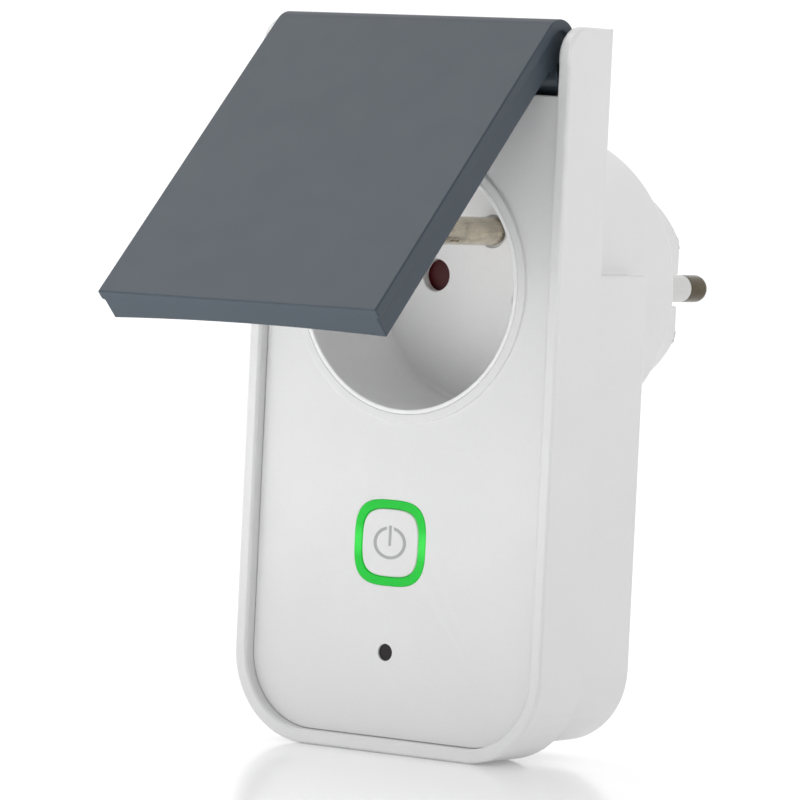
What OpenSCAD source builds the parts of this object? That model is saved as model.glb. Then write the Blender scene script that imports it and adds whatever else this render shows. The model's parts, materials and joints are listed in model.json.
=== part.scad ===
// Outdoor smart plug: a wall-plug adapter with a hinged splash lid over a recessed socket.
// Millimetres. +Z is up and +Y points into the wall. The origin is the middle of the plug's
// face, halfway between its two pins. Depths are measured back from the frame's front plane.

/* [Front frame] */
// Width of the body
body_w = 62.5; // [60:0.5:66]
// Depth of the front frame and of its hinge cheeks
frame_depth = 12.4; // [11.5:0.1:14]
// Distance from the socket's axis down to the bottom edge
body_drop = 78.7; // [78:0.1:84]
// Radius of the two bottom corners
corner_r = 15; // [13:0.5:17]
// Thickness of the frame's rim and side walls
rim = 2.4; // [2.2:0.1:2.8]
// Height of the hinge cheeks above the socket's axis
cheek_top = 43.6; // [43:0.1:46]
// Radius of the cheeks' rounded front corner
cheek_r = 5.3; // [5:0.1:5.5]

/* [Front panel] */
// How far the panel lies behind the rim
panel_recess = 2.1; // [2.0:0.1:2.4]
// Thickness of the panel
panel_t = 2; // [1.8:0.1:2.2]
// Height of the panel's top edge above the socket's axis
panel_top = 32; // [31.5:0.1:32]

/* [Rear cover] */
// Depth of the rear cover's back face
cover_back = 27.6; // [27:0.1:29]
// How far the cover is set in from the frame's sides
cover_inset = 0.3; // [0.2:0.1:0.6]
// How far the cover's bottom is above the frame's bottom
cover_rise = 2.5; // [2:0.1:3]
// Height of the box part of the cover above the socket's axis
cover_top = 3; // [2:0.5:5]
// Radius of the round boss that carries the plug
boss_r = 26.8; // [26:0.1:27]
// Depth of the boss's back face
boss_back = 42.6; // [42:0.1:44]
// Wall thickness of the rear cover
wall = 2.2; // [2:0.1:2.3]

/* [Plug] */
// Depth of the plug's face, which is the origin
reach = 59.4; // [59:0.1:61]
// Radius of the plug's body
plug_r = 19.1; // [18.6:0.1:19.1]
// Distance from the middle to each flat side of the plug
plug_flat = 16.9; // [16.5:0.1:17.1]
// Distance between the two live pins
pin_pitch = 19; // [18.8:0.1:19.2]
// Radius of the pins
pin_r = 2.4; // [2.38:0.01:2.42]
// Length of the pins beyond the plug's face
pin_length = 19; // [18.5:0.1:19.5]
// Length of the insulating sleeve beyond the plug's face
sleeve_length = 12.6; // [10:0.1:14]
// Height of the earth contact above the line of the pins
earth_rise = 10; // [9.8:0.1:10.2]

/* [Socket] */
// Radius of the socket's mouth
well_r = 21.1; // [20.8:0.1:21.3]
// Radius of the socket's floor
floor_r = 20.4; // [20:0.1:20.6]
// Depth of the socket's floor
floor_y = 23.8; // [23.5:0.1:24.5]
// Outer radius of the collar round the mouth
collar_r = 23.4; // [23.2:0.1:24]
// Radius of the two contact holes
hole_r = 2.75; // [2.6:0.05:2.8]
// Turn of the contacts, clockwise from the front
socket_turn = 11; // [0:1:12]
// Sideways and upward shift of the contacts from the socket's axis
contact_shift = [-0.4, -0.8];

/* [Lid] */
// Width of the lid
lid_w = 55.4; // [54:0.1:55.6]
// Depth and height of the hinge axis
hinge = [6, 35.9];
// How far the closed lid stands in front of the frame's front plane
lid_proud = 4.15; // [3.9:0.05:4.25]
// Thickness of the lid over its skirt, at its corners
lid_t = 6; // [5.7:0.05:6]
// Thickness of the lid's top plate, which overhangs the skirt's sides
lid_plate = 1.9; // [1.7:0.1:2]
// Rise of the shallow arch in the skirt's lower wall
lid_arch = 0.8; // [0:0.1:1]
// Distance from the socket's axis down to the closed lid's lower edge
lid_drop = 28.9; // [28:0.1:30]
// Angle at which the lid stands open
lid_open = 44.6; // [0:0.1:95]

/* [Button] */
// Distance from the socket's axis down to the button
button_drop = 43.6; // [42.5:0.1:44]
// Sideways shift of the button and the indicator from the middle
button_shift = -1.5; // [-1.5:0.1:0]
// Outer width of the light ring
ring_w = 14.4; // [14:0.1:15]
// Width of the button's cap
cap_w = 11.4; // [11.2:0.1:11.5]
// Distance from the socket's axis down to the indicator
indicator_drop = 62; // [61:0.1:63]
// Radius of the indicator's lens
indicator_r = 1.4; // [1.2:0.1:1.5]

/* [Hidden] */
$fn = 96;
// Small overlap that joins solids of one piece
eps = 0.1;

// Frame
half_w = body_w / 2;
inner_half_w = half_w - rim;
boss_center = [5.1, cheek_top - cheek_r];
boss_proud = cheek_r - boss_center[0];
panel_back = panel_recess + panel_t;
panel_gap = 0.1;
ledge_t = 1.5;
ledge_w = 1.6;
shelf_t = 1.9;
frame_back_t = 2;
frame_lap = 3.4;
cheek_pin_depth = 1.6;
hinge_wall_t = 1.1;
hinge_wall_top = 36.2;

// Joint between frame and cover
cover_corner_r = 13;
gasket_in = 0.6;
gasket_w = 1;
gasket_t = 0.8;
screw_x = 25.2;
screw_z = [-26, -66];
screw_r = 1.2;
screw_clearance = 0.3;
screw_head_r = 2.7;
screw_head_t = 1.8;
screw_head_depth = 3;
screw_end = 6;
front_post_r = 3.2;
rear_post_r = 4.2;

// Plug
spigot_r = 15.4;
plug_hollow_r = 13.2;
plug_face_t = 3.6;
plug_edge_r = 1;
groove_depth = 1.2;
groove_half = 2.7;
groove_length = 12;
pin_core_r = 1.8;
sleeve_root_r = 2.2;
pin_recess_r = 2.6;
pin_recess = 0.4;
pin_tip_r = 1.9;
pin_stud_r = 1.6;
pin_boss_r = 4.2;
pin_boss_y = 50;
pin_head_r = 3.4;
pin_head_t = 2;
pin_stud_y = 45.6;
earth_tube_r = 3;
earth_bore_r = 2.45;
earth_tube_y = 39.6;
earth_lip = 0.4;
clip_half_w = 3;
clip_t = 0.8;
clip_y = 45;

// Socket
collar_y = 1.6;
insert_r = 21.9;
collar_in_r = 21.95;
floor_t = 2;
floor_back = floor_y + floor_t;
flange_r = 24.6;
flange_t = 1.5;
skirt_r = 21.3;
skirt_in_r = 19.3;
skirt_back = 31;
earth_pin_out = 19.5;
earth_pin_tip_r = 1.6;
earth_pin_root_r = 2.2;
earth_pin_stud_r = 1.8;
earth_pin_end = 32.6;
earth_pin_gap_r = 2.75;
earth_pin_gap_y = 0.5;
earth_slot_y = [8.8, 11.3];
earth_slot_turn = 34;
shutter_y = floor_back + 0.3;
shutter_t = 1.8;
shutter_r = 12.8;
shutter_hub_r = 4.6;
shutter_half_angle = 20;
pivot_r = 1.5;
pivot_clearance = 0.05;
spring_r = 3.2;
spring_in_r = 2;
spring_t = 0.5;
spring_gap = 1;
carrier_y = 28.9;
carrier_r = 19.2;
carrier_tube_back = 38.4;
clip_r = 3.2;
clip_bore_r = 2.45;
clip_slot = 1.4;
clip_back = 38.8;
strip_y = clip_back + 0.1;

// Busbars
bar_t = 0.8;
bar_y = 32.2;
step_y = 23;
bar_x = [3, 7];
bar_z = [-10.6, -22.9, -34.8];
tab_y = 46.4;
tab_r = 4;
load_x = [9.4, 11.4];
load_y = 21;
load_top = -5.2;
load_z = [-20.7, -36];

// Lid
lid_inset = 0.5;
skirt_t = 1.6;
nose_r = 4.6;
nose_y = nose_r - lid_proud;
barrel_r = 3.7;
lid_top = hinge[1] + 5;
nose_z = lid_top - nose_r;
lid_solid_z = 30.6;
nose_fill_z = 32.3;
nose_wall = 1.6;
hinge_pin_r = 1.5;
hinge_bore_r = 1.55;
hinge_pin_reach = 6;
seal_in_r = 21.3;
seal_out_r = 23.3;
seal_gap = 0.4;

// Button
squircle_power = 3.3;
squircle_points = 64;
ring_hole_gap = 0.1;
ring_in_w = 11.65;
ring_proud = 0.1;
cap_proud = 0.05;
guide_w = 17;
guide_in_w = 13.4;
guide_back = 7.6;
cap_flange_w = 12.8;
cap_flange_y = 4.75;
cap_back = 5.5;
ring_back = 4.7;
symbol_t = 0.3;
symbol_proud = 0.04;
symbol_r = 2.5;
symbol_wide = 1.2;
symbol_stroke = 0.5;
symbol_gap = 1.5;
symbol_bar = [-0.5, 2.9];
plunger_r = 1.7;
plunger_back = 7.2;
plunger_clearance = 0.08;
press = 0.8;
switch_w = 6;
lens_clearance = 0.05;
lens_recess = 0.4;
lens_flange = 0.8;
switch_front = 6.2;

// Electronics
board_y = 9;
board_t = 1.6;
board_back = board_y + board_t;
board_half_w = 21.4;
board_z = [-71.5, -27.4];
board_screw_x = 18.6;
board_screw_z = [-30.4, -58.6];
board_screw_r = 1.1;
board_screw_head_r = 2.2;
board_screw_head_t = 1.3;
board_post_r = 2.6;
led_r = 7.6;
led_w = 1.6;
led_t = 0.9;
fuse_r = 1.8;
capacitor_r = 4;

// ---------------------------------------------------------------- helpers

// Extrudes a front-view outline from depth y0 back to depth y1
module plate(y0, y1) {
    translate([0, y1 - reach, 0])
    rotate([90, 0, 0])
    linear_extrude(height = y1 - y0)
    children();
}

// Round rod along the depth
module rod(r, y0, y1, x = 0, z = 0) {
    translate([x, y1 - reach, z])
    rotate([90, 0, 0])
    cylinder(r = r, h = y1 - y0);
}

// Box between two corners given as [x, depth, z]
module block(low, high) {
    translate([low[0], low[1] - reach, low[2]])
    cube(high - low);
}

// Extrudes a side-view outline (depth, height) across the width
module across(width) {
    translate([-width / 2, -reach, 0])
    rotate([90, 0, 90])
    linear_extrude(height = width)
    children();
}

// Rectangle with round bottom corners, centred on x
module tray_outline(half, top, bottom, r) {
    translate([-half, bottom + r])
    square([2 * half, top - bottom - r]);
    translate([r - half, bottom])
    square([2 * (half - r), r + eps]);
    for (side = [-1, 1])
        translate([side * (half - r), bottom + r])
        circle(r = r);
}

// Outline of the frame, drawn in by an even inset
module frame_outline(inset, top) {
    tray_outline(half_w - inset, top, inset - body_drop, corner_r - inset);
}

// Outline of the rear cover's box, drawn in by an even inset
module box_outline(inset) {
    tray_outline(half_w - cover_inset - inset, cover_top - inset,
        inset + cover_rise - body_drop, cover_corner_r - inset);
}

// Outline where frame and cover meet: the box and the round boss together
module joint_outline(inset) {
    box_outline(inset);
    circle(r = boss_r - inset);
}

// Rounded square whose sides bow slightly outwards
module squircle(width) {
    power = 2 / squircle_power;
    polygon([for (i = [0 : squircle_points - 1])
        let (a = 360 * (i + 0.5) / squircle_points)
        [sign(cos(a)) * pow(abs(cos(a)), power), sign(sin(a)) * pow(abs(sin(a)), power)]
            * width / 2]);
}

module at_button() {
    translate([button_shift, -button_drop])
    children();
}

// Round bar with a rounded end, standing on its root and pointing up
module round_bar(r, length, tip_r) {
    rotate_extrude()
    intersection() {
        square([r, length]);
        union() {
            square([r, length - tip_r]);
            square([r - tip_r, length]);
            translate([r - tip_r, length - tip_r])
            circle(r = tip_r);
        }
    }
}

// Turns and shifts the socket's contacts
module turned() {
    translate([contact_shift[0], 0, contact_shift[1]])
    rotate([0, socket_turn, 0])
    children();
}

// Repeats a shape at the four housing screws
module at_screws() {
    for (x = [-screw_x, screw_x])
        for (z = screw_z)
            translate([x, 0, z])
            children();
}

// Repeats a shape at the four board screws
module at_board_screws() {
    for (x = [-board_screw_x, board_screw_x])
        for (z = board_screw_z)
            translate([x, 0, z])
            children();
}

// Swings the closed lid open about its hinge
module opened() {
    translate([0, hinge[0] - reach, hinge[1]])
    rotate([-lid_open, 0, 0])
    translate([0, reach - hinge[0], -hinge[1]])
    children();
}

// ---------------------------------------------------------------- casing

// Side view of the frame, with the cheeks' rounded front corner
module frame_side() {
    translate([0, -body_drop])
    square([frame_depth, body_drop + boss_center[1]]);
    translate(boss_center)
    circle(r = cheek_r);
    translate([boss_center[0], boss_center[1] - eps])
    square([frame_depth - boss_center[0], cheek_top - boss_center[1] + eps]);
}

module frame_walls() {
    intersection() {
        plate(-boss_proud, frame_depth)
        difference() {
            frame_outline(0, cheek_top);
            frame_outline(rim, cheek_top + 1);
        }
        across(body_w)
        frame_side();
    }
}

// Ledge behind the panel's edge, shelf over the panel, low wall behind the hinge, and back wall
// round the joint
module frame_inner_walls() {
    plate(panel_back, panel_back + ledge_t)
    difference() {
        frame_outline(rim - eps, panel_top - eps);
        frame_outline(rim + ledge_w, panel_top - shelf_t);
    }
    block([-inner_half_w - eps, panel_back, panel_top - eps - shelf_t],
        [inner_half_w + eps, frame_depth, panel_top - eps]);
    block([-inner_half_w - eps, frame_depth - hinge_wall_t, panel_top - shelf_t],
        [inner_half_w + eps, frame_depth, hinge_wall_top]);
    plate(frame_depth - frame_back_t, frame_depth)
    difference() {
        frame_outline(rim - eps, panel_top - eps);
        joint_outline(frame_lap);
    }
}

module front_frame() {
    color("white")
    difference() {
        union() {
            frame_walls();
            frame_inner_walls();
            at_screws()
            rod(front_post_r, panel_back + ledge_t - eps, frame_depth);
        }
        at_screws()
        rod(screw_r, screw_end, frame_depth + 1);
        plate(frame_depth - gasket_t, frame_depth + 1)
        difference() {
            joint_outline(gasket_in);
            joint_outline(gasket_in + gasket_w);
        }
        translate([-inner_half_w - cheek_pin_depth, hinge[0] - reach, hinge[1]])
        rotate([0, 90, 0])
        cylinder(r = hinge_pin_r, h = 2 * (inner_half_w + cheek_pin_depth));
    }
}

module front_panel() {
    color("white")
    difference() {
        union() {
            plate(panel_recess, panel_back)
            frame_outline(rim + panel_gap, panel_top);
            rod(collar_r, collar_y, panel_back);
            at_board_screws()
            rod(board_post_r, panel_back - eps, board_y);
        }
        rod(collar_in_r, 0, panel_back + 1);
        plate(0, panel_back + 1)
        at_button()
        squircle(ring_w + ring_hole_gap);
        rod(indicator_r + lens_clearance, 0, panel_back + 1, button_shift, -indicator_drop);
        at_board_screws()
        rod(board_screw_r, panel_back, board_y + 1);
    }
}

module rear_cover() {
    color("white")
    difference() {
        union() {
            difference() {
                union() {
                    plate(frame_depth, cover_back)
                    box_outline(0);
                    rod(boss_r, frame_depth, boss_back);
                }
                plate(frame_depth - 1, cover_back - wall)
                box_outline(wall);
                rod(boss_r - wall, frame_depth - 1, boss_back - wall);
            }
            at_screws()
            rod(rear_post_r, frame_depth, cover_back - eps);
        }
        rod(spigot_r, boss_back - wall - 1, boss_back + 1);
        at_screws() {
            rod(screw_r + screw_clearance, frame_depth - 1, cover_back + 1);
            rod(screw_head_r + screw_clearance, cover_back - screw_head_depth, cover_back + 1);
        }
    }
}

module housing_gasket() {
    color("dimgray")
    plate(frame_depth - gasket_t, frame_depth)
    difference() {
        joint_outline(gasket_in);
        joint_outline(gasket_in + gasket_w);
    }
}

// Screw along the depth with a crossed recess in its head, which faces the wall
module screw(shank_r, head_r, head_t, tip_y, head_y) {
    difference() {
        union() {
            rod(shank_r, tip_y, head_y + eps);
            rod(head_r, head_y, head_y + head_t);
        }
        for (turn = [0, 90])
            rotate([0, turn, 0])
            block([-head_r * 0.6, head_y + head_t * 0.4, -head_r * 0.14],
                [head_r * 0.6, head_y + head_t + 1, head_r * 0.14]);
    }
}

module housing_screws() {
    color("silver")
    at_screws()
    screw(screw_r, screw_head_r, screw_head_t, screw_end + 0.2,
        cover_back - screw_head_depth);
}

// ---------------------------------------------------------------- plug

// Straight body with two flat sides
module plug_shape() {
    intersection() {
        translate([0, boss_back - reach, 0])
        rotate([-90, 0, 0])
        round_bar(plug_r, reach - boss_back, plug_edge_r);
        block([-plug_flat, boss_back - 1, -plug_r], [plug_flat, reach + 1, plug_r]);
    }
    rod(spigot_r, boss_back - wall, boss_back + eps);
}

module plug_cuts() {
    rod(plug_hollow_r, boss_back - wall - 1, reach - plug_face_t);
    for (side = [-1, 1]) {
        block([side * plug_flat - groove_depth, reach - groove_length, -groove_half],
            [side * plug_flat + groove_depth, reach + 1, groove_half]);
        block([-clip_half_w, clip_y, side * plug_r - 1.1],
            [clip_half_w, reach + 1, side * plug_r + 1.1]);
    }
}

module plug_body() {
    color("white")
    difference() {
        union() {
            difference() {
                plug_shape();
                plug_cuts();
            }
            for (side = [-1, 1])
                rod(pin_boss_r, pin_boss_y, reach - plug_face_t + eps, side * pin_pitch / 2);
            rod(earth_tube_r + 0.9, earth_tube_y, reach - plug_face_t + eps, 0, earth_rise);
        }
        for (side = [-1, 1]) {
            rod(sleeve_root_r, pin_boss_y - 1, reach, side * pin_pitch / 2);
            rod(pin_recess_r, reach - pin_recess, reach + 1, side * pin_pitch / 2);
        }
        rod(earth_tube_r, earth_tube_y - 1, reach + 1, 0, earth_rise);
    }
}

// Pin with a thin core under its sleeve, a full tip, and a head and stud inside the plug
module plug_pin(side) {
    x = side * pin_pitch / 2;
    tip_length = pin_length - sleeve_length;
    color("silver")
    union() {
        translate([x, sleeve_length, 0])
        rotate([-90, 0, 0])
        round_bar(pin_r, tip_length, pin_tip_r);
        rod(pin_core_r, pin_boss_y - eps, reach + sleeve_length + eps, x);
        rod(pin_head_r, pin_boss_y - pin_head_t, pin_boss_y, x);
        rod(pin_stud_r, pin_stud_y, pin_boss_y - pin_head_t + eps, x);
    }
}

module line_pin() {
    plug_pin(1);
}

module neutral_pin() {
    plug_pin(-1);
}

module pin_sleeves() {
    color("gainsboro")
    for (side = [-1, 1])
        difference() {
            union() {
                rod(sleeve_root_r, pin_boss_y, reach + eps, side * pin_pitch / 2);
                rod(pin_r, reach, reach + sleeve_length, side * pin_pitch / 2);
            }
            rod(pin_core_r, pin_boss_y - 1, reach + sleeve_length + 1, side * pin_pitch / 2);
        }
}

module earth_socket() {
    color("goldenrod")
    difference() {
        rod(earth_tube_r, earth_tube_y, reach - earth_lip, 0, earth_rise);
        rod(earth_bore_r, earth_tube_y - 1, reach + 1, 0, earth_rise);
    }
}

// Contact strips on the top and bottom of the plug
module earth_clips() {
    color("silver")
    for (side = [-1, 1])
        block([-clip_half_w + eps, clip_y, side * (plug_r - 0.7) - clip_t / 2],
            [clip_half_w - eps, reach - earth_lip, side * (plug_r - 0.7) + clip_t / 2]);
}

// ---------------------------------------------------------------- socket

module contact_holes(r, y0, y1) {
    turned()
    for (side = [-1, 1])
        rod(r, y0, y1, side * pin_pitch / 2);
}

module socket_insert() {
    draft = (well_r - floor_r) / (floor_y - collar_y);
    color("white")
    difference() {
        union() {
            rod(insert_r, collar_y, floor_back);
            rod(flange_r, panel_back, panel_back + flange_t);
            rod(skirt_r, floor_back - eps, skirt_back);
        }
        translate([0, floor_y - reach, 0])
        rotate([90, 0, 0])
        cylinder(r1 = floor_r, r2 = well_r + draft, h = floor_y - collar_y + 1);
        difference() {
            rod(skirt_in_r, floor_back, skirt_back + 1);
            turned()
            rod(pivot_r, floor_back - 1, floor_back + shutter_t + 0.6);
        }
        contact_holes(hole_r, floor_y - 1, floor_back + 1);
        turned()
        rod(earth_pin_root_r, floor_y - 1, floor_back + 1, 0, earth_rise);
        turned()
        rod(earth_pin_gap_r, floor_y - 1, floor_y + earth_pin_gap_y, 0, earth_rise);
    }
}

module earth_pin() {
    color("silver")
    turned() {
        difference() {
            translate([0, floor_y - reach, earth_rise])
            rotate([90, 0, 0])
            round_bar(pin_r, earth_pin_out, earth_pin_tip_r);
            // Short slot in the pin's side
            translate([0, 0, earth_rise])
            rotate([0, earth_slot_turn, 0])
            block([pin_r - 0.4, earth_slot_y[0], -0.2], [pin_r + 1, earth_slot_y[1], 0.2]);
        }
        rod(earth_pin_root_r, floor_y - eps, floor_back, 0, earth_rise);
        rod(earth_pin_stud_r, floor_back - eps, earth_pin_end, 0, earth_rise);
    }
}

// Wedge from the socket's axis out to a given distance
module blade(length) {
    polygon([[0, 0], [length, abs(length) * tan(shutter_half_angle)],
        [length, -abs(length) * tan(shutter_half_angle)]]);
}

// Two red blades on a hub; they cover the contact holes and turn aside
module shutter() {
    color("firebrick")
    turned()
    difference() {
        plate(shutter_y, shutter_y + shutter_t) {
            circle(r = shutter_hub_r);
            intersection() {
                circle(r = shutter_r);
                for (side = [-1, 1])
                    blade(side * 2 * shutter_r);
            }
        }
        rod(pivot_r + pivot_clearance, shutter_y - 1, shutter_y + shutter_t + 1);
    }
}

// Flat spring of sheet steel round the shutter's pivot, open at one side
module shutter_spring() {
    back = shutter_y + shutter_t;
    color("silver")
    turned()
    difference() {
        rod(spring_r, back, back + spring_t);
        rod(spring_in_r, back - 1, back + 1);
        block([-spring_gap / 2, back - 1, -spring_r - 1], [spring_gap / 2, back + 1, 0]);
    }
}

// Insulating disc behind the shutter, with a tube round each contact
module contact_carrier() {
    color("whitesmoke")
    difference() {
        union() {
            rod(carrier_r, carrier_y, skirt_back);
            contact_holes(clip_r + 1, skirt_back - eps, carrier_tube_back);
        }
        contact_holes(clip_r, skirt_back + 0.1, carrier_tube_back + 1);
        contact_holes(hole_r, carrier_y - 1, skirt_back + 1);
        turned()
        rod(earth_pin_stud_r, carrier_y - 1, skirt_back + 1, 0, earth_rise);
    }
}

// Slotted sleeve that grips a plug pin, with a foot that meets its busbar
module contact(side) {
    color("goldenrod")
    turned()
    difference() {
        rod(clip_r, skirt_back + 0.1, clip_back, side * pin_pitch / 2);
        rod(clip_bore_r, skirt_back - 1, clip_back + 1, side * pin_pitch / 2);
        translate([side * pin_pitch / 2, 0, 0])
        block([-clip_slot / 2, skirt_back - 1, -clip_r - 1],
            [clip_slot / 2, clip_back - 2, clip_r + 1]);
    }
}

module line_contact() {
    contact(1);
}

module neutral_contact() {
    contact(-1);
}

// ---------------------------------------------------------------- busbars

// Strip from the socket's earth pin to the plug's earth contact
module earth_strap() {
    color("goldenrod")
    difference() {
        union() {
            block([-2.5, skirt_back, 6.6], [4.5, skirt_back + bar_t, 12.6]);
            block([-2, skirt_back, 12.6 - bar_t], [2, earth_tube_y, 12.6]);
            block([-2.5, earth_tube_y - bar_t, 7.4], [2.5, earth_tube_y, 12.6]);
        }
        turned()
        rod(earth_pin_stud_r, skirt_back - 1, skirt_back + 2, 0, earth_rise);
    }
}

// Box given for the right-hand side, drawn on either side
module side_block(side, low, high) {
    left = min(side * low[0], side * high[0]);
    block([left, low[1], low[2]], [left + high[0] - low[0], high[1], high[2]]);
}

// Bent strip from a plug pin, round the socket and down to the board
module supply_bar(side) {
    x0 = bar_x[0];
    x1 = bar_x[1];
    difference() {
        union() {
            side_block(side, [5, tab_y, -3.5], [12, tab_y + bar_t, 3.5]);
            side_block(side, [x0, tab_y, bar_z[0]], [x1, tab_y + bar_t, 0]);
            side_block(side, [x0, bar_y, bar_z[0]], [x1, tab_y + bar_t, bar_z[0] + bar_t]);
            side_block(side, [x0, bar_y, bar_z[1]], [x1, bar_y + bar_t, bar_z[0] + bar_t]);
            side_block(side, [x0, step_y, bar_z[1]], [x1, bar_y + bar_t, bar_z[1] + bar_t]);
            side_block(side, [x0, step_y, bar_z[2]], [x1, step_y + bar_t, bar_z[1] + bar_t]);
            side_block(side, [x0, board_back, bar_z[2]], [x1, step_y + bar_t, bar_z[2] + bar_t]);
        }
        rod(pin_stud_r, tab_y - 1, tab_y + 2, side * pin_pitch / 2);
    }
}

module line_busbar() {
    color("goldenrod")
    supply_bar(1);
}

// Round tab behind a socket contact
module contact_tab(side) {
    turned()
    rod(tab_r, clip_back, clip_back + bar_t, side * pin_pitch / 2);
}

// Hole in the tab that lets a long pin through
module tab_hole(side) {
    turned()
    rod(clip_bore_r, clip_back - 1, clip_back + 2, side * pin_pitch / 2);
}

// Strip from the switched side of the board to the line contact
module load_busbar() {
    color("goldenrod")
    difference() {
        union() {
            contact_tab(1);
            block([load_x[0], strip_y, load_z[0]], [load_x[1], strip_y + bar_t, load_top]);
            block([load_x[0], load_y, load_z[0]], [load_x[1], strip_y + bar_t, load_z[0] + bar_t]);
            block([load_x[0], load_y, load_z[1]], [load_x[1], load_y + bar_t, load_z[0] + bar_t]);
            block([load_x[0], board_back, load_z[1]],
                [load_x[1], load_y + bar_t, load_z[1] + bar_t]);
        }
        tab_hole(1);
    }
}

module neutral_busbar() {
    color("goldenrod")
    difference() {
        union() {
            supply_bar(-1);
            contact_tab(-1);
            block([-bar_x[1] - 1, strip_y, bar_z[0]], [-bar_x[1] + 2, strip_y + bar_t, -1]);
        }
        tab_hole(-1);
    }
}

// ---------------------------------------------------------------- lid

// Side view of the closed lid: flat top plate, round nose and hinge barrel
module lid_side() {
    translate([-lid_proud, -lid_drop])
    square([lid_t, lid_drop + nose_z]);
    intersection() {
        translate([nose_y, nose_z])
        circle(r = nose_r);
        translate([-lid_proud, nose_z - eps])
        square([nose_r, nose_r + 2 * eps]);
    }
    translate([nose_y, nose_z - eps])
    square([hinge[0] - nose_y, nose_r + eps]);
    translate([nose_y, nose_fill_z])
    square([hinge[0] - barrel_r + eps - nose_y, nose_z - nose_fill_z]);
    polygon([[hinge[0] - eps, lid_top], [hinge[0] + 2.4, lid_top - 1.2],
        [hinge[0] + barrel_r, hinge[1] + 0.6], [hinge[0] + barrel_r, hinge[1]],
        [hinge[0] - barrel_r, hinge[1]], [hinge[0] - barrel_r, lid_top - 1]]);
    translate(hinge)
    circle(r = barrel_r);
}

// Side view of the top plate, which keeps its thickness round the nose
module lid_plate_side() {
    translate([-lid_proud, -lid_drop])
    square([lid_plate, lid_drop + nose_z]);
    intersection() {
        difference() {
            translate([nose_y, nose_z])
            circle(r = nose_r);
            translate([nose_y, nose_z])
            circle(r = nose_r - lid_plate);
        }
        translate([-lid_proud, nose_z - eps])
        square([nose_r + eps, nose_r + 2 * eps]);
    }
    translate([nose_y, lid_top - lid_plate])
    square([hinge[0] - nose_y, lid_plate]);
}

module lid_shell() {
    arch_r = (pow(lid_w / 2 - lid_inset, 2) + pow(lid_arch, 2)) / (2 * max(lid_arch, 0.01));
    difference() {
        across(lid_w - 2 * lid_inset)
        lid_side();
        // Room under the plate, open towards the socket
        block([lid_inset + skirt_t - lid_w / 2, lid_plate - lid_proud, skirt_t - lid_drop],
            [lid_w / 2 - lid_inset - skirt_t, lid_t, lid_solid_z]);
        // Arch in the free edge of the skirt's lower wall
        translate([0, lid_t - lid_proud - lid_arch + arch_r - reach, -lid_drop - 1])
        cylinder(r = arch_r, h = skirt_t + 1.5, $fn = 720);
        // Hollow of the nose, in front of the hinge barrel
        block([lid_inset + skirt_t - lid_w / 2, lid_plate - lid_proud, lid_solid_z - eps],
            [lid_w / 2 - lid_inset - skirt_t, hinge[0] - barrel_r - nose_wall, lid_top - lid_plate - 1]);
    }
    across(lid_w)
    lid_plate_side();
}

module lid() {
    color("slategray")
    opened()
    difference() {
        lid_shell();
        for (side = [-1, 1])
            translate([side * (lid_w / 2 - hinge_pin_reach), hinge[0] - reach, hinge[1]])
            rotate([0, side * 90, 0])
            cylinder(r = hinge_bore_r, h = hinge_pin_reach + 1);
    }
}

module lid_gasket() {
    color("black")
    opened()
    difference() {
        rod(seal_out_r, lid_plate - lid_proud, collar_y - seal_gap);
        rod(seal_in_r, lid_plate - lid_proud - 1, collar_y + 1);
    }
}

module hinge_pins() {
    inner_end = lid_w / 2 - hinge_pin_reach + 0.5;
    color("silver")
    for (side = [-1, 1])
        translate([side * inner_end, hinge[0] - reach, hinge[1]])
        rotate([0, side * 90, 0])
        cylinder(r = hinge_pin_r, h = inner_half_w + cheek_pin_depth - inner_end);
}

// ---------------------------------------------------------------- button and indicator

module light_guide() {
    color("lime")
    union() {
        plate(panel_recess - ring_proud, ring_back)
        at_button()
        difference() {
            squircle(ring_w);
            squircle(ring_in_w);
        }
        plate(panel_back, guide_back)
        at_button()
        difference() {
            squircle(guide_w);
            squircle(guide_in_w);
        }
        plate(panel_back, ring_back)
        at_button()
        difference() {
            squircle(guide_w);
            squircle(ring_in_w);
        }
    }
}

module button_cap() {
    color("white")
    difference() {
        union() {
            plate(panel_recess - cap_proud, cap_back)
            at_button()
            squircle(cap_w);
            plate(cap_flange_y, cap_back)
            at_button()
            squircle(cap_flange_w);
        }
        plate(panel_recess - 1, panel_recess - cap_proud - symbol_proud + symbol_t)
        at_button()
        symbol_outline();
    }
}

// Generic power sign: an open circle with a bar
module symbol_outline() {
    difference() {
        scale([symbol_wide, 1])
        circle(r = symbol_r + symbol_stroke / 2);
        scale([symbol_wide, 1])
        circle(r = symbol_r - symbol_stroke / 2);
        translate([-symbol_gap / 2, 0])
        square([symbol_gap, symbol_r + symbol_stroke]);
    }
    translate([-symbol_stroke / 2, symbol_bar[0]])
    square([symbol_stroke, symbol_bar[1] - symbol_bar[0]]);
}

module power_symbol() {
    front = panel_recess - cap_proud - symbol_proud;
    color("gray")
    plate(front, front + symbol_t)
    at_button()
    symbol_outline();
}

module switch_plunger() {
    color("dimgray")
    rod(plunger_r, cap_back, plunger_back, button_shift, -button_drop);
}

module tact_switch() {
    color("dimgray")
    difference() {
        block([button_shift - switch_w / 2, switch_front, -button_drop - switch_w / 2],
            [button_shift + switch_w / 2, board_y, -button_drop + switch_w / 2]);
        rod(plunger_r + plunger_clearance, switch_front - 1, plunger_back + press,
            button_shift, -button_drop);
    }
}

module indicator_lens() {
    color("black")
    union() {
        rod(indicator_r, panel_recess + lens_recess, guide_back, button_shift, -indicator_drop);
        rod(indicator_r + lens_flange, panel_back, panel_back + lens_flange,
            button_shift, -indicator_drop);
    }
}

// ---------------------------------------------------------------- electronics

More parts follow.
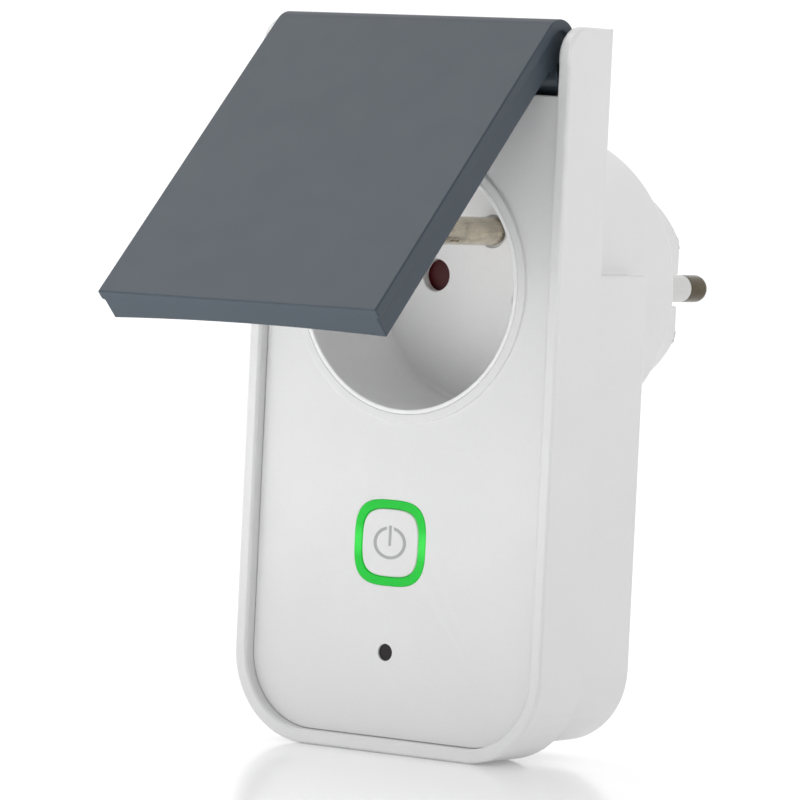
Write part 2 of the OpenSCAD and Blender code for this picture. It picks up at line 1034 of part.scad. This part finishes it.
module main_board() {
    color("darkgreen")
    difference() {
        block([-board_half_w, board_y, board_z[0]], [board_half_w, board_back, board_z[1]]);
        at_board_screws()
        rod(board_screw_r + 0.2, board_y - 1, board_back + 1);
    }
}

module board_screws() {
    color("silver")
    at_board_screws()
    screw(board_screw_r, board_screw_head_r, board_screw_head_t, panel_back + eps, board_back);
}

module led(x, z) {
    block([x - led_w / 2, board_y - led_t, z - led_w / 2], [x + led_w / 2, board_y, z + led_w / 2]);
}

// Four lights under the ring's guide and one under the indicator
module status_leds() {
    color("ivory")
    translate([button_shift, 0, -button_drop])
    for (turn = [0 : 90 : 270])
        rotate([0, turn, 0])
        led(led_r, 0);
    led(button_shift, -indicator_drop);
}

module relay() {
    color("royalblue")
    block([-20, board_back, -56], [-1, cover_back - wall - 0.8, -37]);
}

module supply_module() {
    color("khaki")
    union() {
        block([2, board_back, -56], [20, board_back + 4, -38]);
        block([4, board_back + 4, -54], [18, board_back + 12, -40]);
    }
}

module capacitors() {
    color("navy")
    for (x = [-16, -7])
        rod(capacitor_r, board_back, board_back + 12, x, -66);
}

module wifi_module() {
    color("silver")
    union() {
        block([2, board_back, -71.3], [20, board_back + 0.8, -61.3]);
        block([7, board_back + 0.8, -70.9], [19.5, board_back + 3, -61.7]);
    }
}

module fuse() {
    color("tan")
    translate([-15.4, board_back + fuse_r - reach, -31])
    rotate([0, 90, 0])
    cylinder(r = fuse_r, h = 7.5);
}

front_frame();
front_panel();
socket_insert();
earth_pin();
shutter();
shutter_spring();
contact_carrier();
line_contact();
neutral_contact();
rear_cover();
housing_gasket();
housing_screws();
plug_body();
line_pin();
neutral_pin();
pin_sleeves();
earth_socket();
earth_clips();
earth_strap();
line_busbar();
load_busbar();
neutral_busbar();
lid();
lid_gasket();
hinge_pins();
light_guide();
button_cap();
power_symbol();
switch_plunger();
tact_switch();
indicator_lens();
main_board();
board_screws();
status_leds();
relay();
supply_module();
capacitors();
wifi_module();
fuse();
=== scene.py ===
"""Looks of the outdoor smart plug: a white casing, a slate lid held open over the socket, a plug behind."""
import json
import math

import bmesh
import bpy
from mathutils import Matrix, Vector
from mathutils.geometry import intersect_point_line


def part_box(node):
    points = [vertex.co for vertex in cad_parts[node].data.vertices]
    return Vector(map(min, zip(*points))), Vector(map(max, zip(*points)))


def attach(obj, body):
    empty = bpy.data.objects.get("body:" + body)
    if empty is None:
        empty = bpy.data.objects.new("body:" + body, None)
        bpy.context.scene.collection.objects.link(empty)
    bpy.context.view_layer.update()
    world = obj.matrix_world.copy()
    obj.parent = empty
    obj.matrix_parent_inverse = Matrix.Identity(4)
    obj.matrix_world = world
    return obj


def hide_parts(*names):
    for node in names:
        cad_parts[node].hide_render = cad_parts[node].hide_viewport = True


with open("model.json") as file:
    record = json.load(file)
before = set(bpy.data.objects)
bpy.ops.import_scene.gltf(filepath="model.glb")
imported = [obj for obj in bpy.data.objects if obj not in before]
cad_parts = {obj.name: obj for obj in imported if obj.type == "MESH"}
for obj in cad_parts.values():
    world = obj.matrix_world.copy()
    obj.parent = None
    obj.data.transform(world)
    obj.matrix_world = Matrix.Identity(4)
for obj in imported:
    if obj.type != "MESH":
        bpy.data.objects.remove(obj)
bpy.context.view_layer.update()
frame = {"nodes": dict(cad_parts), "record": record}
nodes = frame["nodes"]
body_of_node = {
    node: body
    for body, members in frame["record"]["behaviour"]["bodies"].items()
    for node in members
}
slot_of_node = {row["node"]: row["material_slot"] for row in frame["record"]["subparts"]}
mounts = {row["name"]: Vector(row["pos_m"]) for row in frame["record"]["mounts"]}

MM = 0.001
COLLAR_DEPTH = 1.6 * MM          # the collar's front edge lies this far behind the frame's front plane
COVER_BACK_Y = -31.8 * MM        # the flat back of the cover, round the boss
panel_low, panel_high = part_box("front_panel")
frame_low, frame_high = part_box("front_frame")
cover_low, cover_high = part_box("rear_cover")
cap_low, cap_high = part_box("button_cap")
ring_low, ring_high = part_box("light_guide")
cap_middle = (cap_low + cap_high) / 2
front_y = panel_low.y - COLLAR_DEPTH
seam_y = frame_high.y            # where the frame meets the rear cover
boss_radius = cover_high.z


# ---------------------------------------------------------------- materials

def principled(name, color, roughness, metallic=0.0):
    """A new material, its node tree and its Principled shader."""
    mat = bpy.data.materials.new(name)
    mat.use_nodes = True
    tree = mat.node_tree
    shader = tree.nodes["Principled BSDF"]
    shader.inputs["Base Color"].default_value = (*color, 1)
    shader.inputs["Roughness"].default_value = roughness
    shader.inputs["Metallic"].default_value = metallic
    return mat, tree, shader


def feed(tree, target, value):
    """Gives an input its value, which is a socket to link, a colour or a number."""
    if isinstance(value, bpy.types.NodeSocket):
        tree.links.new(value, target)
    elif isinstance(value, tuple):
        target.default_value = (*value, 1)
    else:
        target.default_value = value


def noise(tree, size, detail=3.0, roughness=0.5, stretch=None):
    """Noise whose features are about size across, in metres. Returns its factor socket."""
    place = tree.nodes.new("ShaderNodeTexCoord").outputs["Object"]
    if stretch:
        mapping = tree.nodes.new("ShaderNodeMapping")
        mapping.inputs["Scale"].default_value = stretch
        tree.links.new(place, mapping.inputs["Vector"])
        place = mapping.outputs["Vector"]
    texture = tree.nodes.new("ShaderNodeTexNoise")
    texture.inputs["Scale"].default_value = 1 / size
    texture.inputs["Detail"].default_value = detail
    texture.inputs["Roughness"].default_value = roughness
    tree.links.new(place, texture.inputs["Vector"])
    return texture.outputs["Fac"]


def ramp(tree, factor, stops):
    """A colour ramp over (position, colour) stops. Returns its colour socket."""
    node = tree.nodes.new("ShaderNodeValToRGB")
    points = node.color_ramp.elements
    while len(points) < len(stops):
        points.new(0.5)
    for point, (position, color) in zip(points, stops):
        point.position = position
        point.color = (*color, 1)
    tree.links.new(factor, node.inputs["Fac"])
    return node.outputs["Color"]


def mapped(tree, factor, ends, results, smooth=False):
    """Maps a factor from one range onto another, with soft ends where smooth is set."""
    node = tree.nodes.new("ShaderNodeMapRange")
    if smooth:
        node.interpolation_type = "SMOOTHSTEP"
    node.inputs["From Min"].default_value, node.inputs["From Max"].default_value = ends
    node.inputs["To Min"].default_value, node.inputs["To Max"].default_value = results
    tree.links.new(factor, node.inputs["Value"])
    return node.outputs["Result"]


def spread(tree, factor, low, high):
    """Maps a noise factor from its usual range onto low to high."""
    return mapped(tree, factor, (0.3, 0.7), (low, high))


def calculated(tree, operation, *terms):
    """The result of a Math node over sockets and numbers."""
    node = tree.nodes.new("ShaderNodeMath")
    node.operation = operation
    for target, value in zip(node.inputs, terms):
        feed(tree, target, value)
    return node.outputs["Value"]


def mixed(tree, color, other, factor, blend="MIX"):
    """Mixes another colour into a colour, by a factor that is a number or a socket."""
    node = tree.nodes.new("ShaderNodeMix")
    node.data_type = "RGBA"
    node.blend_type = blend
    for name, value in (("A", color), ("B", other), ("Factor", factor)):
        feed(tree, node.inputs[name], value)
    return node.outputs["Result"]


def bump(tree, shader, height, depth):
    """Relief depth deep in metres, from a height socket."""
    node = tree.nodes.new("ShaderNodeBump")
    node.inputs["Strength"].default_value = 1
    node.inputs["Distance"].default_value = depth
    tree.links.new(height, node.inputs["Height"])
    tree.links.new(node.outputs["Normal"], shader.inputs["Normal"])


def shade(color, amount):
    """A colour made lighter or darker."""
    return tuple(min(1.0, c * amount) for c in color)


def grey(value):
    return (value, value, value)


def worn(tree, color, edge_color, amount):
    """Lightens the rubbed edges, in patches, where the mesh's own curvature says so."""
    pointed = tree.nodes.new("ShaderNodeNewGeometry").outputs["Pointiness"]
    edges = mapped(tree, pointed, (0.53, 0.62), (0, amount))
    patches = spread(tree, noise(tree, 2.5 * MM), 0.2, 1.0)
    return mixed(tree, color, edge_color, calculated(tree, "MULTIPLY", edges, patches))


def plastic(name, color, roughness, grain, grain_depth, edge=1.1, coat=0.0, gloss=0.5):
    """Moulded plastic: faint flow marks in its colour, uneven gloss, a spark-eroded grain, rubbed edges.

    grain and grain_depth are in millimetres, and edge is how much lighter the rubbed edges are."""
    mat, tree, shader = principled(name, color, roughness)
    shader.inputs["Specular IOR Level"].default_value = gloss
    flow = noise(tree, 14 * MM, 4, 0.55)
    specks = noise(tree, 0.35 * MM, 2)
    tint = ramp(tree, flow, [(0.3, shade(color, 0.985)), (0.7, shade(color, 1.01))])
    fine = ramp(tree, specks, [(0.25, grey(0.975)), (0.75, grey(1.0))])
    speckled = mixed(tree, tint, fine, 1, "MULTIPLY")
    feed(tree, shader.inputs["Base Color"], worn(tree, speckled, shade(color, edge), 0.6))
    sheen = spread(tree, noise(tree, 5 * MM, 5, 0.6), roughness * 0.96, roughness * 1.04)
    feed(tree, shader.inputs["Roughness"], sheen)
    bump(tree, shader, noise(tree, grain * MM, 2, 0.6), grain_depth * MM)
    if coat:
        shader.inputs["Coat Weight"].default_value = coat
        shader.inputs["Coat Roughness"].default_value = 0.12
    return mat


def metal(name, color, roughness, stretch, dark=0.7):
    """Plated or rolled metal: drawn lines, tarnish in patches, brighter rubbed edges."""
    mat, tree, shader = principled(name, color, roughness, 1.0)
    lines = noise(tree, 0.2 * MM, 3, 0.7, stretch)
    patches = noise(tree, 3 * MM, 5, 0.6)
    tint = ramp(tree, patches, [(0.35, shade(color, dark)), (0.65, color)])
    feed(tree, shader.inputs["Base Color"], worn(tree, tint, shade(color, 1.2), 0.8))
    feed(tree, shader.inputs["Roughness"], spread(tree, lines, roughness * 0.8, roughness * 1.4))
    bump(tree, shader, lines, 0.004 * MM)
    return mat


def rubber(name, color):
    """Matt rubber with paler dust on it."""
    mat, tree, shader = principled(name, color, 0.62)
    dust = ramp(tree, noise(tree, 4 * MM, 6, 0.7), [(0.4, color), (0.8, shade(color, 1.9))])
    feed(tree, shader.inputs["Base Color"], dust)
    feed(tree, shader.inputs["Roughness"], spread(tree, noise(tree, 1.5 * MM), 0.5, 0.75))
    bump(tree, shader, noise(tree, 0.25 * MM), 0.012 * MM)
    return mat


def ring_light(name):
    """Milky light guide, lit green from behind and brightest over the lamps at its sides."""
    mat, tree, shader = principled(name, (0.06, 0.72, 0.14), 0.4)
    shader.inputs["Specular IOR Level"].default_value = 0.25
    half = (ring_high.x - ring_low.x) / 2
    split = tree.nodes.new("ShaderNodeSeparateXYZ")
    feed(tree, split.inputs["Vector"], tree.nodes.new("ShaderNodeTexCoord").outputs["Object"])
    height = calculated(tree, "SUBTRACT", split.outputs["Z"], (ring_low.z + ring_high.z) / 2)
    from_lamps = mapped(tree, calculated(tree, "ABSOLUTE", height), (0, half), (0, 1), smooth=True)
    glow = ramp(tree, from_lamps,
                [(0.0, (0.030, 0.56, 0.060)), (0.25, (0.008, 0.43, 0.032)), (1.0, (0.004, 0.38, 0.026))])
    mottle = ramp(tree, noise(tree, 1.2 * MM, 4), [(0.3, grey(0.93)), (0.7, grey(1.0))])
    lit = mixed(tree, glow, mottle, 1, "MULTIPLY")
    feed(tree, shader.inputs["Base Color"], lit)
    feed(tree, shader.inputs["Emission Color"], lit)
    shader.inputs["Emission Strength"].default_value = 0.55
    bump(tree, shader, noise(tree, 0.4 * MM), 0.004 * MM)
    return mat


# slot: its maker, and what the maker is told: colour, roughness,
# then for plastic: grain size and depth, how much lighter the edges are, coat, gloss
# and for metal: the stretch of its drawn lines, how dark the tarnish is
LOOKS = {
    "casing_white": (plastic, grey(0.78), 0.34, 0.28, 0.0025, 1.008, 0.15),
    # socket_white is set paler than the casing's white as painted light, so that the well under the lid's
    # shade comes out bright
    "socket_white": (plastic, grey(0.92), 0.30, 0.4, 0.0015, 1.008, 0.1),
    "lid_slate": (plastic, (0.044, 0.060, 0.078), 0.42, 0.30, 0.010, 1.25, 0.0, 0.35),
    "rubber_black": (rubber, (0.018, 0.018, 0.020)),
    "nickel": (metal, (0.62, 0.56, 0.45), 0.24, (1, 0.04, 1)),
    "dark_nickel": (metal, (0.100, 0.083, 0.054), 0.24, (1, 0.04, 1)),
    "brass": (metal, (0.78, 0.58, 0.26), 0.30, (0.1, 1, 1), 0.6),
    "sleeve_grey": (plastic, (0.66, 0.66, 0.65), 0.45, 0.3, 0.004),
    "shutter_red": (plastic, (0.07, 0.002, 0.004), 0.35, 0.3, 0.004, 1.6),
    "ring_green": (ring_light,),
    "symbol_grey": (plastic, (0.40, 0.405, 0.41), 0.4, 0.3, 0.002),
    "lens_black": (plastic, (0.008, 0.005, 0.006), 0.3, 2, 0.001, 2.0, 0.0, 0.2),
    "board_green": (plastic, (0.01, 0.10, 0.04), 0.35, 0.6, 0.010, 1.5),
    "zinc_steel": (metal, (0.60, 0.61, 0.63), 0.32, (1, 1, 0.2)),
    "relay_blue": (plastic, (0.02, 0.06, 0.30), 0.3, 0.4, 0.006, 1.5),
    "coil_yellow": (plastic, (0.62, 0.44, 0.06), 0.4, 0.8, 0.02, 1.3),
    "capacitor_navy": (plastic, (0.01, 0.015, 0.07), 0.25, 1, 0.01, 1.8, 0.3),
    "switch_black": (plastic, grey(0.015), 0.45, 0.3, 0.006, 2.0),
    "led_white": (plastic, (0.80, 0.80, 0.66), 0.3, 0.2, 0.004),
    "fuse_tan": (plastic, (0.50, 0.40, 0.24), 0.6, 0.3, 0.01),
}
MATERIALS = {slot: maker(slot, *values) for slot, (maker, *values) in LOOKS.items()}


def paint(obj, slot):
    """Gives a piece the material of its slot."""
    obj.data.materials.clear()
    obj.data.materials.append(MATERIALS[slot])


# ---------------------------------------------------------------- meshes

SHARP = math.radians(28)         # the faces beside an edge that is rounded differ by more than this
FLAT = math.radians(0.2)         # faces that differ by less than this are one flat face
LARGE_FACE = 4 * MM * MM         # a flat face above this size is kept evenly lit
ROOM_SHARE = 0.45                # a rounding takes no more than this share of the room beside its edge


def room_beside(edge, sharp_edges):
    """How far it is across an edge's faces to the next sharp edge beside it, and 1 m if there is none."""
    start, end = (v.co for v in edge.verts)
    middle, along = (start + end) / 2, (end - start).normalized()
    nearest = 1.0
    for face in edge.link_faces:
        for other in face.edges:
            if other in sharp_edges and not set(other.verts) & set(edge.verts):
                point, part = intersect_point_line(middle, other.verts[0].co, other.verts[1].co)
                if part < 0 or part > 1:
                    point = other.verts[0].co if part < 0 else other.verts[1].co
                offset = point - middle
                beside = abs(offset.dot(along)) < 0.7 * offset.length
                if beside and offset.length < nearest:
                    nearest = offset.length
    return nearest


def divide(work, cuts):
    """Cuts the faces along planes, given as (point, normal), and marks the cuts as seams."""
    for point, normal in cuts:
        everything = work.verts[:] + work.edges[:] + work.faces[:]
        cut = bmesh.ops.bisect_plane(work, geom=everything, plane_co=point, plane_no=normal,
                                     dist=0.0001 * MM)
        for item in cut["geom_cut"]:
            if isinstance(item, bmesh.types.BMEdge):
                item.seam = True


def weigh_edges(work, radius, share):
    """Gives each sharp edge its share of the radius. An edge with none stays crisp."""
    weights = work.edges.layers.float.new("bevel_weight_edge")
    sharp_edges = {e for e in work.edges if len(e.link_faces) == 2 and e.calc_face_angle() > SHARP}
    for edge in sharp_edges:
        middle = (edge.verts[0].co + edge.verts[1].co) / 2
        wanted = share(middle, edge) if share else 1.0
        if wanted:
            wanted = min(wanted, ROOM_SHARE * room_beside(edge, sharp_edges) / radius)
        edge[weights] = wanted
        edge.smooth = wanted > 0


def add_rounding(obj, radius):
    """Rounds the edges by their weights, then evens the normals of the flat faces between them."""
    bevel = obj.modifiers.new("edges", "BEVEL")
    bevel.width = radius
    bevel.segments = 3
    bevel.limit_method = "WEIGHT"
    bevel.use_clamp_overlap = False
    bevel.miter_outer = "MITER_ARC"
    bevel.loop_slide = False
    normals = obj.modifiers.new("normals", "WEIGHTED_NORMAL")
    normals.keep_sharp = True
    normals.weight = 100


def apply_modifiers(obj):
    """Applies the object's modifiers, so that the mesh itself has the shape."""
    bpy.context.view_layer.update()
    evaluated = obj.evaluated_get(bpy.context.evaluated_depsgraph_get())
    mesh = bpy.data.meshes.new_from_object(evaluated)
    obj.modifiers.clear()
    obj.data = mesh


def even_normals(mesh):
    """Gives the corners beside a large flat face that face's own normal, so that it stays evenly lit."""
    largest = {}
    for face in mesh.polygons:
        for vertex in face.vertices:
            if vertex not in largest or face.area > largest[vertex][0]:
                largest[vertex] = (face.area, face.normal.copy())
    normals = [corner.vector.copy() for corner in mesh.corner_normals]
    for i, loop in enumerate(mesh.loops):
        area, normal = largest[loop.vertex_index]
        if area > LARGE_FACE and normals[i].dot(normal) > 0.9:
            normals[i] = normal
    mesh.normals_split_custom_set(normals)


def soften(node, radius, share=None, cuts=()):
    """Puts a copy with rounded edges in a CAD piece's place, on the same body and slot.

    share(middle, edge) scales the radius, which is whole without it. Flat faces stay divided along
    the planes in cuts, so that none of them has a hole in it."""
    mesh = bpy.data.meshes.new(node + "_soft")
    work = bmesh.new()
    work.from_mesh(nodes[node].data)
    bmesh.ops.remove_doubles(work, verts=work.verts, dist=0.001 * MM)
    divide(work, cuts)
    bmesh.ops.dissolve_limit(work, angle_limit=FLAT, verts=work.verts, edges=work.edges,
                             delimit={"SEAM"})
    for face in work.faces:
        face.smooth = True
    weigh_edges(work, radius, share)
    work.to_mesh(mesh)
    work.free()
    obj = bpy.data.objects.new(node + "_shell", mesh)
    bpy.context.scene.collection.objects.link(obj)
    add_rounding(obj, radius)
    apply_modifiers(obj)
    even_normals(obj.data)
    paint(obj, slot_of_node[node])
    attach(obj, body_of_node[node])
    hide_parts(node)


# ---------------------------------------------------------------- how round each edge is

CLOSE = 0.1 * MM                 # an edge this close to an outer face lies on it
OUTLINE_BAND = 0.7 * MM          # an edge this close to an outline belongs to it
FRAME_CORNER = 15 * MM           # radius of the frame's lower corners, seen from the front
COVER_CORNER = 13 * MM           # radius of the rear cover's lower corners
BOSS_HOLLOW = (25.5 * MM, -18 * MM)              # inside this radius, and in front of this y
PLUG_HOLLOW = (17.5 * MM, 16.2 * MM, -1 * MM)    # inside this radius and half width, in front of this y
MOUTH_LINE = 21.93 * MM          # radius of the fine line between the socket's rim and the collar
MOUTH_DEPTH = 2.5 * MM           # the socket's rim ends before this depth
FLOOR_EDGE = 19 * MM             # the holes in the socket's floor lie inside this radius
COLLAR_OUTSIDE = 24.5 * MM       # the collar lies inside this radius
SYMBOL_OUTSIDE = 4.5 * MM        # the symbol's groove in the cap lies inside this radius
LID_SIDE = 27 * MM               # an edge of the lid beyond this on both ends lies along its side
CRISP = 0.12


def off_axis(point):
    """How far a point lies from the socket's and the plug's axis."""
    return math.hypot(point.x, point.z)


def at_seam(middle):
    """Almost crisp where the frame meets the rear cover, so that the seam stays a fine line."""
    return CRISP if abs(middle.y - seam_y) < CLOSE / 2 else 1.0


def at_collar(middle):
    """True on the fine line between the socket's rim and the panel's collar."""
    return middle.y < front_y + 2.2 * MM and abs(off_axis(middle) - MOUTH_LINE) < 0.15 * MM


def on_outline(middle, low, high, corner):
    """True at the outline, seen from the front, of a box whose lower corners are rounded to corner."""
    side = max(abs(middle.x) - (high.x - corner), 0)
    down = max(low.z + corner - middle.z, 0)
    return math.hypot(side, down) > corner - OUTLINE_BAND


def of_frame(middle, edge):
    """The walls and screw posts behind the panel stay as they are."""
    in_front = middle.y < frame_low.y + 1 * MM
    above_panel = middle.z > panel_high.z - 1 * MM
    if in_front or above_panel or on_outline(middle, frame_low, frame_high, FRAME_CORNER):
        return at_seam(middle)
    return 0.0


def of_cover(middle, edge):
    """Only the outside is rounded: the box's walls, its back with the screw holes, and the boss."""
    hollow_radius, hollow_end = BOSS_HOLLOW
    if off_axis(middle) < hollow_radius and middle.y < hollow_end:
        return 0.0
    at_wall = on_outline(middle, cover_low, cover_high, COVER_CORNER)
    on_back = middle.y > COVER_BACK_Y - CLOSE
    on_boss = off_axis(middle) > boss_radius - CLOSE and middle.z > -1 * MM
    return at_seam(middle) if at_wall or on_back or on_boss else 0.0


def of_plug(middle, edge):
    """The hollow inside stays as it is."""
    radius, half_width, end = PLUG_HOLLOW
    return 0.0 if middle.y < end and abs(middle.x) < half_width and off_axis(middle) < radius else 1.0


def of_insert(middle, edge):
    """Soft at the floor, finer round the mouth and at the holes."""
    if at_collar(middle):
        return CRISP
    if middle.y < front_y + MOUTH_DEPTH:
        return 0.6
    return 1.0 if off_axis(middle) > FLOOR_EDGE else 0.5


def of_panel(middle, edge):
    """Soft at the collar's outer edge, fine at the socket's rim and where the panel meets the frame."""
    if at_collar(middle):
        return 0.25
    return 1.0 if off_axis(middle) < COLLAR_OUTSIDE else 0.2


def of_cap(middle, edge):
    """Soft outer edge; the groove of the symbol stays crisp."""
    return 1.0 if off_axis(middle - cap_middle) > SYMBOL_OUTSIDE else 0.0


def of_lid(middle, edge):
    """Full radius along the sides and on the edges that run from side to side, fine elsewhere."""
    at_side = min(abs(v.co.x) for v in edge.verts) > LID_SIDE
    return 1.0 if at_side or abs(middle.x) < 1 * MM else 0.3


ACROSS, ALONG, UP = Vector((1, 0, 0)), Vector((0, 1, 0)), Vector((0, 0, 1))
holes = mounts["socket_neutral_hole"] - mounts["socket_line_hole"]
screw_xs = [v.co.x for v in nodes["housing_screws"].data.vertices if v.co.x > 0]
screw_x = sum(screw_xs) / len(screw_xs)

# planes through the pieces' holes, each a point and a normal
THROUGH_HOLES = (mounts["socket_line_hole"], holes.cross(ALONG).normalized())
THROUGH_EARTH_PIN = (mounts["socket_earth_pin"], holes.normalized())
LEVEL = (mounts["plug_face"], UP)
UPRIGHT = (mounts["plug_face"], ACROSS)
AT_SCREWS = [(side * screw_x * ACROSS, ACROSS) for side in (-1, 1)]
AT_BUTTON = (cap_middle, ACROSS)

# node: radius in millimetres, its share by place, and the planes through the node's holes
ROUNDED = {
    "front_frame": (0.6, of_frame, [AT_BUTTON, LEVEL]),
    "front_panel": (0.22, of_panel, [AT_BUTTON]),
    "socket_insert": (0.5, of_insert, [THROUGH_HOLES, THROUGH_EARTH_PIN]),
    "rear_cover": (0.8, of_cover, [UPRIGHT, LEVEL, *AT_SCREWS]),
    "plug_body": (0.35, of_plug, [LEVEL, UPRIGHT]),
    "pin_sleeves": (0.15,),
    "lid": (0.3, of_lid),
    "lid_gasket": (0.5,),
    "light_guide": (0.12,),
    "button_cap": (0.3, of_cap),
    "earth_clips": (0.2,),
    "earth_socket": (0.15,),
    "housing_screws": (0.12,),
    "shutter": (0.2,),
}

for node, (radius, *how) in ROUNDED.items():
    soften(node, radius * MM, *how)
for node in nodes:
    if node not in ROUNDED:
        paint(nodes[node], slot_of_node[node])


# ---------------------------------------------------------------- stage, light and camera

PART_MIDDLE = (0, -0.04, 0)      # what the large lights point at
FLOOR_HALF = 6.0                 # half of the floor's width
FLOOR_GAP = 0.02 * MM            # between the floor and the part's lowest point
SENSOR = 36                      # millimetres, as the focal length is


def make_floor():
    """Pale glossy table under the object."""
    mesh = bpy.data.meshes.new("floor")
    z = frame_low.z - FLOOR_GAP
    corners = [(x * FLOOR_HALF, y * FLOOR_HALF, z) for x, y in ((-1, -1), (1, -1), (1, 1), (-1, 1))]
    mesh.from_pydata(corners, [], [(0, 1, 2, 3)])
    floor = bpy.data.objects.new("floor", mesh)
    bpy.context.scene.collection.objects.link(floor)
    mat, tree, shader = principled("floor_white", grey(0.95), 0.12)
    shader.inputs["Emission Color"].default_value = (1, 1, 1, 1)
    shader.inputs["Emission Strength"].default_value = 0.10
    shader.inputs["Specular IOR Level"].default_value = 0.35
    feed(tree, shader.inputs["Roughness"], spread(tree, noise(tree, 0.4), 0.11, 0.14))
    floor.data.materials.append(mat)


def make_world():
    """White studio behind the object, softer in front, and dimmer overhead for the metal to mirror."""
    world = bpy.data.worlds.new("studio")
    world.use_nodes = True
    tree = world.node_tree
    back = tree.nodes["Background"]
    back.inputs["Color"].default_value = (1, 1, 1, 1)
    split = tree.nodes.new("ShaderNodeSeparateXYZ")
    feed(tree, split.inputs["Vector"], tree.nodes.new("ShaderNodeTexCoord").outputs["Generated"])
    overhead = mapped(tree, split.outputs["Z"], (0.35, 0.9), (1.0, 0.80), smooth=True)
    behind = mapped(tree, split.outputs["Y"], (-0.3, 0.6), (0.76, 1.08), smooth=True)
    feed(tree, back.inputs["Strength"], calculated(tree, "MULTIPLY", overhead, behind))
    bpy.context.scene.world = world


def make_camera():
    """Camera at the photographed angle: from the front right, slightly above, and leaning a little."""
    azimuth, elevation, lean = math.radians(34.87), math.radians(2.70), math.radians(2.72)
    distance = 0.89507
    aim_left, aim_down = 0.411 * MM, 19.464 * MM     # from the socket's middle to the picture's
    back = Vector((math.sin(azimuth) * math.cos(elevation), -math.cos(azimuth) * math.cos(elevation),
                   math.sin(elevation)))
    level_right = Vector((math.cos(azimuth), math.sin(azimuth), 0))
    level_up = back.cross(level_right)
    right = level_right * math.cos(lean) + level_up * math.sin(lean)
    up = level_up * math.cos(lean) - level_right * math.sin(lean)
    data = bpy.data.cameras.new("camera")
    data.sensor_width = SENSOR
    data.lens = 241.965
    data.clip_start = 0.01
    data.clip_end = 50
    camera = bpy.data.objects.new("camera", data)
    bpy.context.scene.collection.objects.link(camera)
    place = Matrix((right, up, back)).transposed().to_4x4()
    place.translation = Vector((0, front_y, 0)) - right * aim_left - up * aim_down + back * distance
    camera.matrix_world = place
    bpy.context.scene.camera = camera


def add_light(light, place, target):
    """Puts a light at a place, turned to its target."""
    obj = bpy.data.objects.new(light.name, light)
    bpy.context.scene.collection.objects.link(obj)
    obj.location = place
    obj.rotation_euler = (Vector(target) - Vector(place)).to_track_quat("-Z", "Y").to_euler()


def area_light(name, place, target, size, power):
    """A rectangular light, its size in metres and its power in watts."""
    light = bpy.data.lights.new(name, "AREA")
    light.shape = "RECTANGLE"
    light.size, light.size_y = size
    light.energy = power
    add_light(light, place, target)


def spot_light(name, place, target, angle, power):
    """A soft-edged spot, its angle in degrees and its power in watts."""
    light = bpy.data.lights.new(name, "SPOT")
    light.spot_size = math.radians(angle)
    light.spot_blend = 0.4
    light.shadow_soft_size = 0.03
    light.energy = power
    add_light(light, place, target)


make_floor()
make_world()
make_camera()
area_light("key", (-0.95, -0.2, 1.3), PART_MIDDLE, (0.9, 0.9), 5.5)
area_light("front", (-0.12, -0.32, -0.052), (0, -0.05, -0.045), (0.45, 0.04), 0.11)
area_light("edge", (1.3, 0.2, 0.5), PART_MIDDLE, (0.5, 1.2), 1.2)
spot_light("table", (-0.05, -0.35, 0.90), (-0.05, -0.31, frame_low.z), 20, 86)
bpy.context.scene.view_settings.view_transform = "Standard"
